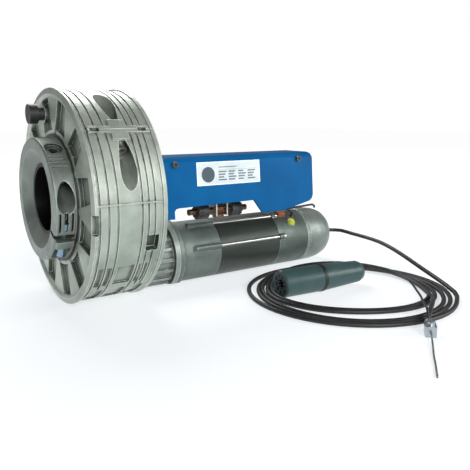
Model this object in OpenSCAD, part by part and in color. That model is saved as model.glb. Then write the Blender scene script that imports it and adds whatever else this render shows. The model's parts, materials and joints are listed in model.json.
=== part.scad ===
/* [Crown] */
// Diameter of the tube that the machine clamps on
tube_d = 60; // [48:0.5:61]
// Outside diameter of the crown that the curtain is screwed to
crown_d = 200; // [196:1:244]
// Width of the crown
crown_w = 68; // [66:1:90]
// Height of the crown's edge ribs
rib_h = 1.5; // [1:0.25:2.5]
// Radial wall of the crown's drum
drum_wall = 13; // [12:0.5:15]
// Depth of the grooves round the crown
groove_depth = 1.4; // [0.5:0.1:2]
// Angle of the plane that the crown and hub split at
split_angle = 140; // [130:1:150]
// Screw size that joins the halves of the crown and hub
joint_screw_d = 6; // [5:1:6]

/* [Hub] */
// How far the fixed hub stands out of the crown
hub_proud = 17; // [15:1:22]
// Outside radius of the hub
hub_r = 57; // [54:0.5:60]
// Wall of the sleeve round the tube
sleeve_wall = 5; // [4:0.5:6]
// Wall of the nylon ring that the crown turns on
bearing_wall = 2.7; // [2:0.1:4]
// Width of the slit that the clamp bolt closes
slit_w = 4; // [3:0.5:6]
// Diameter of the clamp bolt
clamp_bolt_d = 8; // [6:1:10]

/* [Gear train] */
// Teeth of the ring gear inside the crown
ring_teeth = 80; // [70:1:90]
// Teeth of the pinion that drives the ring gear
output_teeth = 15; // [14:1:16]
// Teeth of the wheel on the output shaft
wheel_teeth = 40; // [36:1:44]
// Teeth of the small gear on the layshaft
lay_pinion_teeth = 10; // [10:1:13]
// Teeth of the large gear on the layshaft
lay_teeth = 56; // [50:1:60]
// Teeth cut on the rotor shaft
rotor_teeth = 10; // [10:1:12]
// Module of the output wheel pair
wheel_module = 0.9; // [0.8:0.05:0.9]
// Module of the rotor pair
rotor_module = 0.65; // [0.6:0.05:0.65]
// Face width of the ring gear
ring_w = 14; // [10:1:16]

/* [Motor] */
// Outside radius of the motor
motor_r = 32.5; // [30:0.5:34]
// How far the motor axis stands forward of the tube axis
motor_forward = 5; // [0:0.5:8]
// Length of the gearbox neck between crown and motor
neck_len = 46; // [38:1:56]
// Length of the front end shield
front_shield_len = 52; // [44:1:64]
// Length of the stator stack
stack_len = 82; // [66:1:100]
// Length of the rear end shield
rear_shield_len = 44; // [42:1:54]
// Length of the domed end cap
end_cap_len = 44; // [40:1:54]
// Radius of the rotor core
rotor_r = 17.5; // [16:0.5:19]
// Radius of the rotor shaft
shaft_r = 5; // [4:0.5:6]
// Travel of the brake armature
brake_gap = 0.8; // [0.4:0.1:1.2]

/* [Limit switch] */
// Pitch of the limit spindle
spindle_pitch = 0.75; // [0.5:0.25:1]
// Outside diameter of the limit nuts
limit_nut_d = 15; // [13:0.5:16]
// Length of each limit nut
limit_nut_len = 12; // [10:0.5:13]
// Diameter of the limit spindle
spindle_d = 6; // [5:0.5:7]
// Free travel of each limit nut
limit_travel = 4.2; // [3:0.1:4.4]

/* [Cover] */
// Length of the cover
cover_len = 180; // [170:1:215]
// Height of the cover's upper edge above the tube axis
cover_top = 39.5; // [36:0.5:44]
// Wall of the cover
cover_wall = 2.4; // [2:0.1:3.2]

/* [Release cable] */
// Diameter of the release cable's sheath
cable_d = 4.5; // [4:0.1:5]
// Outside radius of the coil
coil_r = 104; // [100:1:110]
// Height of the coil
coil_h = 13.5; // [12:0.5:18]
// Length of the release handle
handle_len = 104; // [90:1:120]
// Diameter of the release handle
handle_d = 28; // [24:0.5:30]

/* [Hidden] */
$fn = 96;
over = 0.5;
reach = 400;

// Radii measured from the tube axis
bore_r = tube_d / 2;
sleeve_r = bore_r + sleeve_wall;
crown_r = crown_d / 2;
rib_r = crown_r + rib_h;
drum_inner_r = crown_r - drum_wall;
floor_z = -rib_r;
run_clear = 0.1;
fit_clear = 0.25;
mesh_clear = 0.12;
bearing_r = hub_r + 0.5;
web_bore_r = bearing_r + bearing_wall + run_clear;
case_r = drum_inner_r - 0.6;
case_inner_r = case_r - 1.8;
lid_r = drum_inner_r - bearing_wall - run_clear - 1.3;

// Stations along the tube axis
crown_x0 = hub_proud;
crown_x1 = crown_x0 + crown_w;
web_x = crown_x0 + 6.5;
web_boss_x = crown_x0 + 3;
web_back_x = crown_x0 + 10;
ring_x0 = crown_x0 + 13;
ring_x1 = ring_x0 + ring_w;
wall_x0 = ring_x1 + 2;
wall_x1 = wall_x0 + 4;
wheel_w = 8;
wheel_x0 = wall_x1 + 2;
lay_x0 = wheel_x0 + wheel_w + 4;
lay_w = 9;
lid_x0 = crown_x1 - 5;
lid_x1 = crown_x1 - 1;
neck_x1 = lid_x1 + neck_len;
flange_t = 5;
shield_x1 = neck_x1 + front_shield_len;
stack_x1 = shield_x1 + stack_len;
rear_x1 = stack_x1 + rear_shield_len;
cap_x1 = rear_x1 + end_cap_len;
rear_wall_x = stack_x1 + 12;
rear_wall_t = 6;
front_wall_t = 6;

// Centres in the plane across the tube axis, as [y, z]
motor_at = [-motor_forward, -(crown_r - motor_r + 0.5)];
motor_reach = norm(motor_at);
motor_angle = 180 + atan2(-motor_at[1], -motor_at[0]);
ring_pitch_r = drum_inner_r - 7;
ring_module = 2 * ring_pitch_r / ring_teeth;
output_reach = ring_pitch_r - output_teeth * ring_module / 2;
rotor_span = (rotor_teeth + lay_teeth) * rotor_module / 2;
wheel_span = (wheel_teeth + lay_pinion_teeth) * wheel_module / 2;
train_span = 0.995 * (rotor_span + wheel_span);
train_angle = acos((motor_reach ^ 2 + output_reach ^ 2 - train_span ^ 2) / (2 * motor_reach * output_reach));
output_angle = motor_angle + train_angle;
output_at = output_reach * [cos(output_angle), sin(output_angle)];
to_output = (output_at - motor_at) / train_span;
lay_along = (rotor_span ^ 2 - wheel_span ^ 2 + train_span ^ 2) / (2 * train_span);
lay_aside = sqrt(rotor_span ^ 2 - lay_along ^ 2);
lay_at = motor_at + lay_along * to_output + lay_aside * [-to_output[1], to_output[0]];

// Limit switch train
drive_teeth = 12;
drive_angle = 177.75;
drive_reach = ring_pitch_r - drive_teeth * ring_module / 2;
drive_at = drive_reach * [cos(drive_angle), sin(drive_angle)];
limit_module = 1;
limit_wheel_teeth = 22;
spindle_teeth = 14;
limit_span = (limit_wheel_teeth + spindle_teeth) * limit_module / 2;
spindle_lean = 6;
spindle_at = drive_at + limit_span * [sin(spindle_lean), -cos(spindle_lean)];
tab_x0 = neck_x1 + 22;
tab_t = 1.5;
limit_gear_w = 9;
tab_x1 = tab_x0 + tab_t + limit_gear_w + 2;
lever_t = 0.4;
lever_back = 2.2;
nut_rest_gap = limit_travel + 0.2;
lever_up_x = tab_x0 - lever_back;
lever_down_x = tab_x1 + tab_t + lever_back - lever_t;
nut_up_x = lever_up_x - nut_rest_gap - limit_nut_len;
nut_down_x = lever_down_x + lever_t + nut_rest_gap;
lever_len = 7;
lever_w = 5;
lever_top_z = spindle_at[1] + limit_nut_d / 2 + 4;
lever_y = spindle_at[0] + 6.6;
chassis_t = 1.5;
chassis_y = drive_at[0] + 12.6 + chassis_t;
chassis_x0 = crown_x1 + 10;

// Cover stations
cover_x0 = crown_x1 + 2.5;
cover_x1 = cover_x0 + cover_len;
cover_base_z = spindle_at[1] + 9;
cover_low_z = cover_base_z - 13;
cover_low_y = -(crown_r - 12);
cover_lean = 0.082;
cover_back_y = -44;
flap_x0 = neck_x1 + 69;
flap_x1 = flap_x0 + 26;
function cover_y(z) = cover_low_y + (z - cover_low_z) * cover_lean;

// Cable, coil and handle
cable_r = cable_d / 2;
coil_at = [270, -143];
coil_hole_at = [276, -129];
coil_hole_r = 75;
handle_at = [199, -117];
handle_turn = -5;
handle_r = handle_d / 2;
handle_z = floor_z + handle_r + 0.5;
handle_seat_r = 18;
handle_dir = [cos(handle_turn), sin(handle_turn)];
handle_end = [handle_at[0] + handle_len * handle_dir[0], handle_at[1] + handle_len * handle_dir[1], handle_z];
thin_r = 1.1;
tail_r = 0.8;
clamp_len = 22;
clamp_turn = 222;
clamp_dir = [cos(clamp_turn), sin(clamp_turn)];
clamp_from = [250, -254];
clamp_z = floor_z + 5;
clamp_to = clamp_from + clamp_len * clamp_dir;
coil_top = floor_z + coil_h;
over_coil = coil_top + thin_r + 0.5;
cap_x = cap_x1 + 4;
cable_route = [[cap_x, motor_at[0], motor_at[1]], [cap_x + 4, motor_at[0], motor_at[1]],
    [cap_x + 8, motor_at[0], motor_at[1]], [cap_x + 18, -8, motor_at[1] - 1],
    [cap_x + 26, -18, motor_at[1] - 1], [cap_x + 30, -34, motor_at[1] - 3],
    [cap_x + 30, -58, motor_at[1] - 4], [cap_x + 26, -84, motor_at[1] - 5],
    [cap_x + 18, -112, coil_top + 14], [cap_x + 8, -138, coil_top + 10], [cap_x + 2, -150, coil_top + 7],
    [cap_x - 2, -155, coil_top + 4], [cap_x - 2, -155, coil_top + 2], [cap_x - 2, -155, coil_top]];
wire_route = [handle_end, [handle_end[0] + 3 * handle_dir[0], handle_end[1] + 3 * handle_dir[1], handle_z],
    [handle_end[0] + 6 * handle_dir[0], handle_end[1] + 6 * handle_dir[1], handle_z],
    [317, -134, over_coil + 2],
    [323, -146, over_coil + 1], [323, -160, over_coil], [316, -177, over_coil], [306, -192, over_coil],
    [293, -207, over_coil], [280, -222, over_coil], [270, -232, over_coil], [262, -240, over_coil + 0.5],
    [256.5, -246.5, over_coil],
    [clamp_from[0] - 4 * clamp_dir[0], clamp_from[1] - 4 * clamp_dir[1], clamp_z + 4],
    [clamp_from[0] - 2 * clamp_dir[0], clamp_from[1] - 2 * clamp_dir[1], clamp_z],
    [clamp_from[0] - clamp_dir[0], clamp_from[1] - clamp_dir[1], clamp_z],
    [clamp_from[0], clamp_from[1], clamp_z]];
tail_route = [[clamp_to[0], clamp_to[1], clamp_z],
    [clamp_to[0] + clamp_dir[0], clamp_to[1] + clamp_dir[1], clamp_z],
    [clamp_to[0] + 2 * clamp_dir[0], clamp_to[1] + 2 * clamp_dir[1], clamp_z], [230, -272, floor_z + 3],
    [218, -282, floor_z + 1.5], [203, -294, floor_z + 1], [190, -305, floor_z + 1], [174, -318, floor_z + 1]];

// Gear teeth: an involute outline with its tips and roots on circles
function inv(a) = tan(a) * 180 / PI - a;
function flank_angle(n, m, r, slack) =
    90 / n + inv(20) - inv(acos(min(1, n * m / 2 * cos(20) / r))) - slack / (n * m / 2) * 90 / PI;
function flank(n, m, root, tip, slack, side) =
    let (base = max(root, n * m / 2 * cos(20)), steps = 3)
    [for (i = [0:steps])
        let (k = side > 0 ? i : steps - i, r = base + (tip - base) * k / steps)
        [r, -side * flank_angle(n, m, r, slack)]];
function polar(p, turn) = [p[0] * cos(p[1] + turn), p[0] * sin(p[1] + turn)];
function tooth(n, m, root, tip, slack, turn) =
    let (base = max(root, n * m / 2 * cos(20)), foot = flank_angle(n, m, base, slack))
    concat([polar([root, -foot], turn)], [for (p = flank(n, m, root, tip, slack, 1)) polar(p, turn)],
        [for (p = flank(n, m, root, tip, slack, -1)) polar(p, turn)], [polar([root, foot], turn)]);
module toothed(n, m, add, ded, slack, turn)
    polygon([for (i = [0:n - 1])
        each tooth(n, m, n * m / 2 - ded * m, n * m / 2 + add * m, slack, turn + i * 360 / n)]);
module spur(x, w, n, m, at, turn)
    ax(x, at) linear_extrude(height = w) toothed(n, m, 0.8, 1.15, mesh_clear, turn);

// A smooth path through points, and a tube along it
function blend(a, b, c, d, t) =
    0.5 * (2 * b + (c - a) * t + (2 * a - 5 * b + 4 * c - d) * t ^ 2 + (3 * b - a - 3 * c + d) * t ^ 3);
function smooth(p, n) = [for (i = [0:len(p) - 2], k = [0:n - 1])
    blend(p[max(i - 1, 0)], p[i], p[i + 1], p[min(i + 2, len(p) - 1)], k / n), p[len(p) - 1]];
function unit(v) = v / norm(v);
function heading(p, i) = unit(p[min(i + 1, len(p) - 1)] - p[max(i - 1, 0)]);
module tube(route, r, sides = 8, steps = 4) {
    path = smooth(route, steps);
    rings = [for (i = [0:len(path) - 1])
        let (t = heading(path, i), s = unit(cross(t, [0.3, 0.1, 1])), u = cross(s, t))
        [for (k = [0:sides - 1]) path[i] + r * (s * cos(k * 360 / sides) + u * sin(k * 360 / sides))]];
    last = len(path) - 1;
    polyhedron(points = [for (ring = rings) each ring],
        faces = concat([[for (k = [0:sides - 1]) sides - 1 - k]],
            [for (i = [0:last - 1], k = [0:sides - 1])
                let (next = (k + 1) % sides)
                [i * sides + k, i * sides + next, (i + 1) * sides + next, (i + 1) * sides + k]],
            [[for (k = [0:sides - 1]) last * sides + k]]));
}

// Placing and cutting helpers: the local Z axis lies along the tube axis
module ax(x, at = [0, 0]) translate([x, at[0], at[1]]) rotate([90, 0, 90]) children();
module rod(x0, x1, r, at = [0, 0]) ax(x0, at) cylinder(h = x1 - x0, r = r);
module ring(x0, x1, ro, ri, at = [0, 0]) difference() {
    rod(x0, x1, ro, at);
    rod(x0 - over, x1 + over, ri, at);
}
module turned(points, at = [0, 0]) ax(0, at) rotate_extrude() polygon(points);
module half_side(a)
    ax(-reach) rotate([0, 0, a]) translate([-reach, 0, 0]) cube([2 * reach, reach, 2 * reach]);
module tangent(x, a, r0) translate([x, r0 * cos(a), r0 * sin(a)]) rotate([a, 0, 0]) children();
module arc_cut(x0, x1, r0, r1, a0, a1)
    ax(x0) rotate([0, 0, a0]) rotate_extrude(angle = a1 - a0) translate([r0, 0]) square([r1 - r0, x1 - x0]);
module radial(x, a, r0) translate([x, r0 * cos(a), r0 * sin(a)]) rotate([a - 90, 0, 0]) children();
module socket_screw(d, grip) {
    difference() {
        cylinder(h = d, r = 0.8 * d);
        translate([0, 0, 0.4 * d]) cylinder(h = 0.6 * d + over, r = 0.46 * d, $fn = 6);
    }
    translate([0, 0, -grip]) cylinder(h = grip + 0.1, r = d / 2);
}

// Crown
groove_at = [6, 14, 22, 44, 50, 56];
groove_half = 1;
pocket_r = 7.5;
pocket_reach = crown_r - pocket_r;
pocket_len = 90;
head_gap = 10.5;
nut_gap = 6.5;
joint_x = crown_x0 + 0.5 * crown_w + 1;
joint_r = joint_screw_d / 2;
ear_angle = 6;
nut_h = 0.8 * joint_screw_d;
edge_w = 7;
web_boss_r = web_bore_r + 3.4;
crown_outline = concat(
    [[web_boss_r, web_x], [web_boss_r, web_boss_x], [web_bore_r, web_boss_x], [web_bore_r, web_back_x],
        [drum_inner_r, web_back_x], [drum_inner_r, crown_x1],
        [rib_r - 1, crown_x1], [rib_r, crown_x1 - 1], [rib_r, crown_x1 - 4], [crown_r, crown_x1 - 5]],
    [for (i = [len(groove_at) - 1:-1:0], s = [1, 0, -1, -2])
        let (deep = s == 0 || s == -1, side = s > -1 ? 1 : -1)
        [crown_r - (deep ? groove_depth : 0),
            crown_x0 + groove_at[i] + side * (deep ? groove_half / 2 : groove_half)]],
    [[crown_r, crown_x0 + 4], [rib_r, crown_x0 + 3.4], [rib_r, crown_x0 + 1.5], [crown_r - 4, crown_x0],
        [crown_r - edge_w, crown_x0 + 1.5], [crown_r - edge_w - 2, web_x]]);
module joint_ears(a) {
    arc_cut(crown_x0 + 7, crown_x1 - 5, crown_r - over, rib_r, a - 2, a + 2);
    arc_cut(joint_x - 8, joint_x + 7, crown_r - over, rib_r, a - ear_angle, a + ear_angle);
}
module joint_pockets(a) {
    tangent(joint_x, a, pocket_reach) {
        translate([0, 0, head_gap]) cylinder(h = pocket_len, r = pocket_r);
        translate([0, 0, -nut_gap - pocket_len]) cylinder(h = pocket_len, r = pocket_r);
        translate([0, 0, -nut_gap - over])
            cylinder(h = head_gap + nut_gap + 2 * over, r = joint_r + fit_clear);
    }
    for (x = [crown_x0 + 9, crown_x1 - 16])
        arc_cut(x, x + 8, crown_r - 3, rib_r + 1, a - 1, a + 1.4);
}
rim_notch = [42, 52];
window_arc = [55, 64];
upper_slots = [[8, 13], [16, 21], [26, 42], [46, 49.5], [52, 55]];
lower_slots = [[8, 20], [26, 42], [46, 60]];
slot_depth = 2.2;
module crown_details(a) {
    arc_cut(crown_x0 + 49, crown_x0 + 61, crown_r - 7, rib_r + 1, a + window_arc[0], a + window_arc[1]);
    arc_cut(crown_x0 - 1, crown_x0 + 5, crown_r - 4, rib_r + 1, a + rim_notch[0], a + rim_notch[1]);
    for (p = upper_slots)
        arc_cut(crown_x0 + p[0], crown_x0 + p[1], crown_r - slot_depth, rib_r + 1, a + 72, a + 87);
    for (p = lower_slots)
        arc_cut(crown_x0 + p[0], crown_x0 + p[1], crown_r - slot_depth, rib_r + 1, a + 92, a + 112);
}
module ledge_line(a) arc_cut(crown_x0 + 2, crown_x1 - 6.5, crown_r - over, crown_r + 0.8, a + 37.5, a + 38.3);
curtain_turn = 130;
curtain_hole_x = crown_x0 + 23.5;
curtain_hole_step = 22;
curtain_hole_r = 2.5;
curtain_hole_depth = 9;
module curtain_holes(a)
    for (k = [0, 1])
        radial(curtain_hole_x + k * curtain_hole_step, a + curtain_turn, crown_r - curtain_hole_depth)
            cylinder(h = 2 * curtain_hole_depth, r = curtain_hole_r);
pad_count = 12;
pad_half = 14;
pad_tip_half = 2.5;
pad_x = crown_x0 + 2;
module web_pads(first)
    for (i = [first:first + pad_count / 2 - 1])
        ax(pad_x) rotate([0, 0, split_angle + (i + 0.5) * 360 / pad_count])
            linear_extrude(height = web_x - pad_x + 1)
                polygon([[web_bore_r + 1, -pad_tip_half], [crown_r - edge_w, -pad_half],
                    [crown_r - edge_w, pad_half], [web_bore_r + 1, pad_tip_half]]);
module other_half(a) half_side(a + 180);
module crown_half(a, first) {
    difference() {
        union() {
            turned(crown_outline);
            joint_ears(a);
            joint_ears(a + 180);
            web_pads(first);
            ledge_line(a);
            if (first > 0) rod(pad_x, web_back_x - 1, knob_boss_r, knob_at);
        }
        other_half(a);
        joint_pockets(a);
        joint_pockets(a + 180);
        crown_details(a);
        curtain_holes(a);
        if (first > 0) knob_hole();
    }
}
knob_angle = 73;
knob_reach = crown_r - 18.4;
knob_r = 9.2;
knob_at = knob_reach * [cos(knob_angle), sin(knob_angle)];
knob_shank_r = 3;
knob_boss_r = 8;
module knob_hole() rod(crown_x0 - over, web_back_x + over, knob_shank_r, knob_at);

module crown_front_half() color("lightgray") crown_half(split_angle, 0);
module crown_rear_half() color("lightgray") crown_half(split_angle + 180, pad_count / 2);
module crown_joint_bolts() color("silver")
    for (a = [split_angle, split_angle + 180])
        tangent(joint_x, a, pocket_reach) translate([0, 0, head_gap])
            socket_screw(joint_screw_d, head_gap + nut_gap + nut_h + 1);
module crown_joint_nuts() color("silver")
    for (a = [split_angle, split_angle + 180])
        tangent(joint_x, a, pocket_reach) translate([0, 0, -nut_gap - nut_h]) difference() {
            cylinder(h = nut_h, r = 0.9 * joint_screw_d, $fn = 6);
            translate([0, 0, -over]) cylinder(h = nut_h + 2 * over, r = joint_r);
        }
module crown_stop_knob() color("black") {
    rod(crown_x0 - 12, crown_x0 - 4, knob_r, knob_at);
    rod(crown_x0 - 4, pad_x, knob_shank_r + 3, knob_at);
    rod(crown_x0, web_back_x - 1, knob_shank_r, knob_at);
}

// Ring gear, split with the crown
module ring_gear_half(a) difference() {
    ax(ring_x0) linear_extrude(height = ring_w) difference() {
        circle(r = drum_inner_r);
        toothed(ring_teeth, ring_module, 1.15, 0.75, -mesh_clear, output_angle);
    }
    other_half(a);
}
module ring_gear_front() color("dimgray") ring_gear_half(split_angle);
module ring_gear_rear() color("dimgray") ring_gear_half(split_angle + 180);

// Hub and gear case
hub_mouth_r = 46;
hub_lip_r = 34;
hub_lip_x = 8;
hub_pocket_r = 8;
hub_reach = hub_r - 11;
hub_head_gap = 6.5;
hub_thread = 8;
hub_joint_x = hub_proud / 2 + 1.7;
slit_angle = 210;
ear_t = 7.5;
ear_r = hub_r + 5;
clamp_reach = hub_r - 5;
clamp_thread = 14;
clamp_head_r = 4.6;
clamp_head_h = 15;
clamp_r = clamp_bolt_d / 2;
screw_angle = 122;
tube_screw_r = 4;
tube_screw_gap = 2;
hub_outline = [[bore_r, hub_lip_x], [hub_lip_r, hub_lip_x], [hub_mouth_r, 0], [hub_r - 1.4, 0], [hub_r, 1.5],
    [hub_r, hub_proud + 2], [bearing_r, hub_proud + 2], [bearing_r, hub_proud + 12],
    [sleeve_r, hub_proud + 12],
    [sleeve_r, wall_x0], [bore_r, wall_x0]];
module hub_joint(second) tangent(hub_joint_x, split_angle + (second ? 180 : 0), hub_reach)
    rotate([second ? 180 : 0, 0, 0]) children();
module hub_blank() difference() {
    turned(hub_outline);
    for (a = [132:4:147]) arc_cut(2.5, hub_proud, hub_r - 1, hub_r + over, a, a + 1.6);
}
rib_windows = [[3.5, 5.4], [8.2, 11.6], [14.4, 16.5]];
module clamp_space() tangent(hub_joint_x, slit_angle, clamp_reach) children();
module gear_case() color("gray") difference() {
    union() {
        difference() {
            union() {
                hub_blank();
                ax(1) rotate([0, 0, slit_angle]) translate([hub_r - 6, slit_w / 2, 0])
                    cube([ear_r - hub_r + 6, ear_t, hub_proud - 2]);
            }
            half_side(split_angle + 180);
            for (second = [false, true]) hub_joint(second) {
                translate([0, 0, hub_head_gap]) cylinder(h = pocket_len, r = hub_pocket_r);
                translate([0, 0, -over]) cylinder(h = hub_head_gap + 2 * over, r = joint_r + fit_clear);
            }
            for (w = rib_windows) arc_cut(w[0], w[1], hub_r - 5, hub_r + over, 187, 205);
            ax(-over) rotate([0, 0, slit_angle]) translate([bore_r - over, -slit_w / 2, 0])
                cube([ear_r, slit_w, hub_proud + 2]);
            clamp_space() {
                translate([0, 0, -clamp_thread]) cylinder(h = clamp_thread + slit_w, r = clamp_r);
                cylinder(h = ear_t + slit_w, r = clamp_r + fit_clear);
                translate([0, 0, slit_w / 2 + ear_t]) cylinder(h = pocket_len, r = clamp_head_r + 3);
            }
        }
        ring(wall_x0, lid_x0, case_r, case_inner_r);
        ring(wall_x0, wall_x1, case_r - over, bore_r);
        ring(wall_x1 - over, lid_x0, sleeve_r, bore_r);
        for (a = screw_angles) rod(wall_x1 - over, lid_x0, neck_boss_r, neck_screw_at(a));
    }
    rod(wall_x0 - over, wall_x1 + over, bush_r, output_at);
    rod(wall_x1 - lay_socket, wall_x1 + over, bush_r, lay_at);
    rod(wall_x0 - over, wall_x1 + over, drive_bush_r, drive_at);
    for (a = screw_angles) rod(lid_x0 - neck_screw_depth, lid_x0 + over, neck_screw_r, neck_screw_at(a));
}
module hub_cap() color("gray") difference() {
    hub_blank();
    half_side(split_angle);
    for (second = [false, true]) hub_joint(second)
        translate([0, 0, -hub_thread]) cylinder(h = hub_thread + over, r = joint_r);
    radial(hub_joint_x, screw_angle, bore_r - over) cylinder(h = hub_r, r = tube_screw_r);
    radial(hub_joint_x, screw_angle, hub_r - 3) cylinder(h = hub_r, r = hub_pocket_r);
}
module hub_joint_bolts() color("silver")
    for (second = [false, true]) hub_joint(second)
        translate([0, 0, hub_head_gap]) socket_screw(joint_screw_d, hub_head_gap + hub_thread);
module clamp_bolt() color("lightsteelblue") clamp_space() difference() {
    union() {
        translate([0, 0, 1 - clamp_thread]) cylinder(h = clamp_thread - 1 + slit_w / 2 + ear_t, r = clamp_r);
        translate([0, 0, slit_w / 2 + ear_t]) cylinder(h = clamp_head_h, r = clamp_head_r);
    }
    translate([0, 0, slit_w / 2 + ear_t + clamp_head_h - 5]) cylinder(h = 6, r = 2.9, $fn = 6);
}
module tube_set_screw() color("dimgray")
    radial(hub_joint_x, screw_angle, bore_r + tube_screw_gap) difference() {
        cylinder(h = hub_r - bore_r - 7, r = tube_screw_r);
        translate([0, 0, hub_r - bore_r - 12]) cylinder(h = 6, r = 2.4, $fn = 6);
    }
module crown_bearing_left() color("black")
    ring(hub_proud + 2, web_back_x + 1, bearing_r + bearing_wall, bearing_r);
module crown_bearing_right() color("black") ring(lid_x0, lid_x1, drum_inner_r - run_clear, lid_r);

// Shafts, wheels and their bushes
bush_r = 7;
pin_r = 3.5;
lay_pin_r = 3;
drive_pin_r = 3;
drive_bush_r = 5;
pin_clear = 0.05;
lay_socket = 3;
ring_step = 360 / ring_teeth;
drive_lag = (drive_angle - output_angle) % ring_step;
drive_turn = drive_angle - drive_lag * ring_teeth / drive_teeth;
wheel_dir = atan2(lay_at[1] - output_at[1], lay_at[0] - output_at[0]);
rotor_dir = atan2(lay_at[1] - motor_at[1], lay_at[0] - motor_at[0]);
limit_dir = atan2(spindle_at[1] - drive_at[1], spindle_at[0] - drive_at[0]);
module output_shaft() color("silver") {
    rod(ring_x0 - 1, lid_x1 - 1, pin_r, output_at);
    spur(ring_x0, ring_w, output_teeth, ring_module, output_at, output_angle);
    spur(wheel_x0, wheel_w, wheel_teeth, wheel_module, output_at, wheel_dir);
}
module layshaft() color("silver") {
    rod(wall_x1 - lay_socket + 0.2, lid_x1 - 1, lay_pin_r, lay_at);
    spur(wheel_x0 - 0.5, lay_x0 - wheel_x0 + 1, lay_pinion_teeth, wheel_module, lay_at,
        wheel_dir + 180 + 180 / lay_pinion_teeth);
    spur(lay_x0, lay_w, lay_teeth, rotor_module, lay_at, rotor_dir + 180 + 180 / lay_teeth);
}
module gear_bushes() color("goldenrod") {
    ring(wall_x0, wall_x1, bush_r, pin_r + pin_clear, output_at);
    ring(lid_x0, lid_x1, bush_r, pin_r + pin_clear, output_at);
    ring(wall_x1 - lay_socket, wall_x1, bush_r, lay_pin_r + pin_clear, lay_at);
    ring(lid_x0, lid_x1, bush_r, lay_pin_r + pin_clear, lay_at);
    ring(wall_x0, wall_x1, drive_bush_r, drive_pin_r + pin_clear, drive_at);
    ring(lid_x0, lid_x1, drive_bush_r, drive_pin_r + pin_clear, drive_at);
}

// Gearbox neck: the lid of the gear case with a tube to the motor
flange_r = motor_r + 4;
neck_r = motor_r - 1.5;
neck_inner_r = motor_r - 6;
screw_angles = [20, 75, 128, 215];
neck_screw_r = 2.4;
neck_head_r = 4.2;
neck_screw_depth = 6;
neck_rib_count = 9;
neck_rib_from = 100;
neck_rib_step = 20;
neck_rib_w = 3;
neck_rib_h = 2;
neck_boss_r = 5;
function neck_screw_at(a) = (case_inner_r - 7) * [cos(a), sin(a)];
module in_envelope() intersection() {
    children();
    union() {
        rod(0, crown_x1 + 0.8, lid_r);
        rod(crown_x1 + 0.8 - over, reach, crown_r);
    }
}
chassis_lug = [26, 15];
module chassis_lugs()
    for (z = [cover_base_z, cover_base_z + chassis_lug[0]])
        translate([lid_x1 - over, chassis_y, z]) cube([chassis_lug[1] + over, 8, 7]);
module gearbox_neck() color("gray") difference() {
    in_envelope() difference() {
        union() {
            ring(lid_x0, lid_x1, lid_r, bore_r);
            rod(lid_x1 - over, neck_x1 - flange_t, neck_r, motor_at);
            rod(neck_x1 - flange_t, neck_x1, flange_r, motor_at);
            for (i = [0:neck_rib_count - 1])
                ax(lid_x1 - over, motor_at) rotate([0, 0, neck_rib_from + i * neck_rib_step])
                    translate([neck_r - 2, -neck_rib_w / 2, 0])
                        cube([2 + neck_rib_h, neck_rib_w, neck_len - flange_t]);
            chassis_lugs();
        }
        rod(lid_x1, neck_x1 + over, neck_inner_r, motor_at);
    }
    rod(lid_x0 - over, neck_x1, bore_r);
    rod(lid_x0 - over, lid_x1 + over, shaft_r + 3.5, motor_at);
    rod(lid_x0 - over, lid_x1 + over, bush_r, output_at);
    rod(lid_x0 - over, lid_x1 + over, bush_r, lay_at);
    rod(lid_x0 - over, lid_x1 + over, drive_bush_r, drive_at);
    for (a = screw_angles) rod(lid_x0 - over, lid_x1 + over, neck_screw_r, neck_screw_at(a));
}
module neck_screws() color("silver")
    for (a = screw_angles) {
        rod(lid_x1, lid_x1 + 3, neck_head_r, neck_screw_at(a));
        rod(lid_x0 - neck_screw_depth + 1, lid_x1 + over, neck_screw_r, neck_screw_at(a));
    }

// Motor
tie_r = 2;
tie_boss_r = 3.6;
tie_reach = motor_r - 0.5;
tie_angles = [115, 166, 295, 346];
tie_boss_len = 32;
tie_thread = 10;
tie_foot = 5;
tie_head_h = 3;
shield_wall = 4.5;
shield_inner_r = motor_r - shield_wall;
end_wall_t = 6;
bearing_od = 11;
rotor_gap = 0.6;
winding_out = 10;
function tie_at(a) = motor_at + tie_reach * [cos(a), sin(a)];
module tie_holes(x0, x1) for (a = tie_angles) rod(x0 - over, x1 + over, tie_r, tie_at(a));
module tie_bosses(x0, x1) for (a = tie_angles) rod(x0, x1, tie_boss_r, tie_at(a));
module front_end_shield() color("gray") in_envelope() difference() {
    union() {
        rod(neck_x1, neck_x1 + flange_t, flange_r, motor_at);
        rod(neck_x1, shield_x1, motor_r, motor_at);
        tie_bosses(shield_x1 - tie_boss_len, shield_x1);
    }
    rod(neck_x1 + end_wall_t, shield_x1 + over, shield_inner_r, motor_at);
    rod(neck_x1 - over, neck_x1 + end_wall_t + over, bearing_od, motor_at);
    tie_holes(shield_x1 - tie_thread - 1, shield_x1);
}
module stator_stack() color("dimgray") difference() {
    rod(shield_x1, stack_x1, motor_r, motor_at);
    rod(shield_x1 - over, stack_x1 + over, rotor_r + rotor_gap, motor_at);
    tie_holes(shield_x1, stack_x1);
}
module stator_windings() color("peru") {
    ring(shield_x1 - winding_out, shield_x1, shield_inner_r - 2, rotor_r + 3, motor_at);
    ring(stack_x1, stack_x1 + winding_out, shield_inner_r - 2, rotor_r + 3, motor_at);
}
module motor_bearings() color("silver") {
    ring(neck_x1, neck_x1 + end_wall_t, bearing_od, shaft_r, motor_at);
    ring(rear_wall_x, rear_wall_x + rear_wall_t, bearing_od, shaft_r, motor_at);
}
connector_angle = 113;
connector_x = stack_x1 + 8.5;
connector_size = [10, 9, 6];
connector_sink = 1.5;
earth_angle = 139;
earth_x = stack_x1 + 22;
lead_hole_r = 1.9;
lead_holes = [[rear_x1 - 16, 122], [rear_x1 + 34, 97]];
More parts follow.
